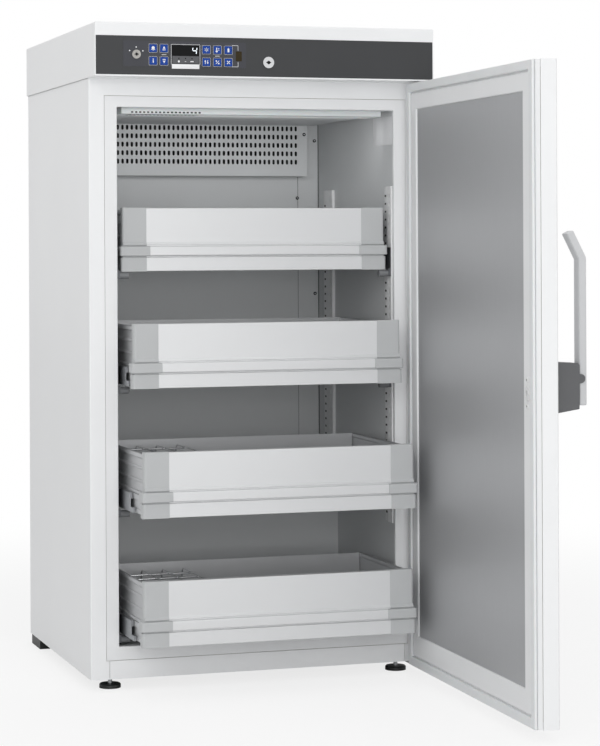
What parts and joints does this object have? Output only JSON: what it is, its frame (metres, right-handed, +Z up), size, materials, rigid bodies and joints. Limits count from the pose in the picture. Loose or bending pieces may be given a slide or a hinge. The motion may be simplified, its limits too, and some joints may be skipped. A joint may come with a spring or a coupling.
{
  "type": "blood bank refrigerator",
  "caption": "Upright blood bank refrigerator with a hinged solid door, lever handle, control panel with keys, and drawers on telescopic runners.",
  "frame": {"origin": "on the floor, under the centre of the closed case's footprint", "axes": "+Z up, +Y towards the back of the cabinet, +X to the right for someone facing its front; the front faces -Y"},
  "size_m": [0.7379, 1.3042, 1.284],
  "materials": {
    "case_paint": "white powder coat",
    "liner_steel": "satin sheet steel",
    "insulation": "rigid polyurethane foam",
    "frame_plastic": "light grey moulded plastic",
    "zinc_steel": "zinc plated sheet",
    "dark_panel": "dark grey panel",
    "foil": "printed polyester foil",
    "window": "tinted acrylic",
    "key_blue": "blue embossed key",
    "chrome": "polished",
    "seal": "soft magnetic seal",
    "aluminium": "anodised",
    "drawer_plastic": "silver anodised extrusion",
    "cap_plastic": "light grey moulded plastic",
    "runner_steel": "zinc plated runner",
    "handle_plastic": "grey moulded plastic",
    "lever_paint": "silver grey lacquer",
    "black_plastic": "black moulded plastic",
    "compressor_paint": "black enamel"
  },
  "bodies": {
    "cabinet": {"cabinet_shell": "case_paint", "cabinet_foam": "insulation", "inner_liner": "liner_steel", "front_frame": "frame_plastic", "base_frame": "zinc_steel", "back_panel": "zinc_steel", "cable_gland": "black_plastic", "top_cover": "case_paint", "fascia": "dark_panel", "control_foil": "foil", "display_window": "window", "evaporator_cover": "liner_steel", "evaporator": "aluminium", "wall_uprights": "runner_steel", "cabinet_rails": "runner_steel", "feet": "black_plastic", "hinge_brackets": "zinc_steel", "compressor": "compressor_paint", "condenser": "aluminium", "liner_screws": "chrome"},
    "door": {"door_skin": "case_paint", "door_end_caps": "frame_plastic", "door_foam": "insulation", "door_frame": "frame_plastic", "door_panel": "liner_steel", "door_gasket": "seal", "handle_base": "handle_plastic", "strike_escutcheon": "chrome"},
    "handle": {"handle_lever": "lever_paint"},
    "switch_barrel": {"key_switch": "chrome"},
    "lock_barrel": {"panel_lock": "chrome"},
    "fan": {"fan_rotor": "black_plastic"},
    "key_1": {"panel_key_1": "key_blue"},
    "key_2": {"panel_key_2": "key_blue"},
    "key_3": {"panel_key_3": "key_blue"},
    "key_4": {"panel_key_4": "key_blue"},
    "key_5": {"panel_key_5": "key_blue"},
    "key_6": {"panel_key_6": "key_blue"},
    "key_7": {"panel_key_7": "key_blue"},
    "key_8": {"panel_key_8": "key_blue"},
    "key_9": {"panel_key_9": "key_blue"},
    "key_10": {"panel_key_10": "key_blue"},
    "runners_1": {"drawer_1_runners": "runner_steel"},
    "drawer_1": {"drawer_1_front": "drawer_plastic", "drawer_1_corner_caps": "cap_plastic", "drawer_1_box": "aluminium"},
    "runners_2": {"drawer_2_runners": "runner_steel"},
    "drawer_2": {"drawer_2_front": "drawer_plastic", "drawer_2_corner_caps": "cap_plastic", "drawer_2_box": "aluminium"},
    "runners_3": {"drawer_3_runners": "runner_steel"},
    "drawer_3": {"drawer_3_front": "drawer_plastic", "drawer_3_corner_caps": "cap_plastic", "drawer_3_box": "aluminium", "drawer_3_divider_rack": "chrome"},
    "runners_4": {"drawer_4_runners": "runner_steel"},
    "drawer_4": {"drawer_4_front": "drawer_plastic", "drawer_4_corner_caps": "cap_plastic", "drawer_4_box": "aluminium", "drawer_4_divider_rack": "chrome"}
  },
  "joints": [
    {"name": "door_swing", "type": "hinge", "parent": "cabinet", "child": "door", "pos_m": [0.3345, -0.2972, 0.6], "axis": [0, 0, 1], "range_deg": [-88.36, 11.64]},
    {"name": "handle_pull", "type": "hinge", "parent": "door", "child": "handle", "pos_m": [0.38409, -0.92738, 0.623], "axis": [0.0286, 0.9996, 0], "range_deg": [0, 12], "stiffness_Nm_per_rad": 8, "springref_deg": -2.86},
    {"name": "key_switch_turn", "type": "hinge", "parent": "cabinet", "child": "switch_barrel", "pos_m": [-0.2625, -0.3325, 1.2228], "axis": [0, 1, 0], "range_deg": [0, 90]},
    {"name": "panel_lock_turn", "type": "hinge", "parent": "cabinet", "child": "lock_barrel", "pos_m": [0.0007, -0.3325, 1.2117], "axis": [0, 1, 0], "range_deg": [0, 90]},
    {"name": "fan_spin", "type": "hinge", "parent": "cabinet", "child": "fan", "pos_m": [0.165, 0.2145, 1.064], "axis": [0, 1, 0], "continuous": true},
    {"name": "key_press_1", "type": "slide", "parent": "cabinet", "child": "key_1", "axis": [0, 1, 0], "range_m": [0, 0.0005], "stiffness_N_per_m": 800, "springref_m": -0.0005},
    {"name": "key_press_2", "type": "slide", "parent": "cabinet", "child": "key_2", "axis": [0, 1, 0], "range_m": [0, 0.0005], "stiffness_N_per_m": 800, "springref_m": -0.0005},
    {"name": "key_press_3", "type": "slide", "parent": "cabinet", "child": "key_3", "axis": [0, 1, 0], "range_m": [0, 0.0005], "stiffness_N_per_m": 800, "springref_m": -0.0005},
    {"name": "key_press_4", "type": "slide", "parent": "cabinet", "child": "key_4", "axis": [0, 1, 0], "range_m": [0, 0.0005], "stiffness_N_per_m": 800, "springref_m": -0.0005},
    {"name": "key_press_5", "type": "slide", "parent": "cabinet", "child": "key_5", "axis": [0, 1, 0], "range_m": [0, 0.0005], "stiffness_N_per_m": 800, "springref_m": -0.0005},
    {"name": "key_press_6", "type": "slide", "parent": "cabinet", "child": "key_6", "axis": [0, 1, 0], "range_m": [0, 0.0005], "stiffness_N_per_m": 800, "springref_m": -0.0005},
    {"name": "key_press_7", "type": "slide", "parent": "cabinet", "child": "key_7", "axis": [0, 1, 0], "range_m": [0, 0.0005], "stiffness_N_per_m": 800, "springref_m": -0.0005},
    {"name": "key_press_8", "type": "slide", "parent": "cabinet", "child": "key_8", "axis": [0, 1, 0], "range_m": [0, 0.0005], "stiffness_N_per_m": 800, "springref_m": -0.0005},
    {"name": "key_press_9", "type": "slide", "parent": "cabinet", "child": "key_9", "axis": [0, 1, 0], "range_m": [0, 0.0005], "stiffness_N_per_m": 800, "springref_m": -0.0005},
    {"name": "key_press_10", "type": "slide", "parent": "cabinet", "child": "key_10", "axis": [0, 1, 0], "range_m": [0, 0.0005], "stiffness_N_per_m": 800, "springref_m": -0.0005},
    {"name": "drawer_1_slide", "type": "slide", "parent": "cabinet", "child": "drawer_1", "axis": [0, -1, 0], "range_m": [0, 0.32]},
    {"name": "runners_1_slide", "type": "slide", "parent": "cabinet", "child": "runners_1", "axis": [0, -1, 0], "range_m": [0, 0.16]},
    {"name": "runners_2_slide", "type": "slide", "parent": "cabinet", "child": "runners_2", "axis": [0, -1, 0], "range_m": [-0.0912, 0.0124]},
    {"name": "drawer_2_slide", "type": "slide", "parent": "runners_2", "child": "drawer_2", "axis": [0, -1, 0], "range_m": [0, 0.2]},
    {"name": "runners_3_slide", "type": "slide", "parent": "cabinet", "child": "runners_3", "axis": [0, -1, 0], "range_m": [-0.2432, 0.0324]},
    {"name": "drawer_3_slide", "type": "slide", "parent": "runners_3", "child": "drawer_3", "axis": [0, -1, 0], "range_m": [0, 0.15]},
    {"name": "runners_4_slide", "type": "slide", "parent": "cabinet", "child": "runners_4", "axis": [0, -1, 0], "range_m": [-0.2102, 0.0281]},
    {"name": "drawer_4_slide", "type": "slide", "parent": "runners_4", "child": "drawer_4", "axis": [0, -1, 0], "range_m": [0, 0.15]}
  ],
  "couplings": [
    {"joint": "runners_1_slide", "follows": "drawer_1_slide", "ratio": 0.5},
    {"joint": "runners_2_slide", "follows": "door_swing", "m_per_rad": 0.059008},
    {"joint": "runners_3_slide", "follows": "door_swing", "m_per_rad": 0.15757},
    {"joint": "runners_4_slide", "follows": "door_swing", "m_per_rad": 0.13617}
  ]
}
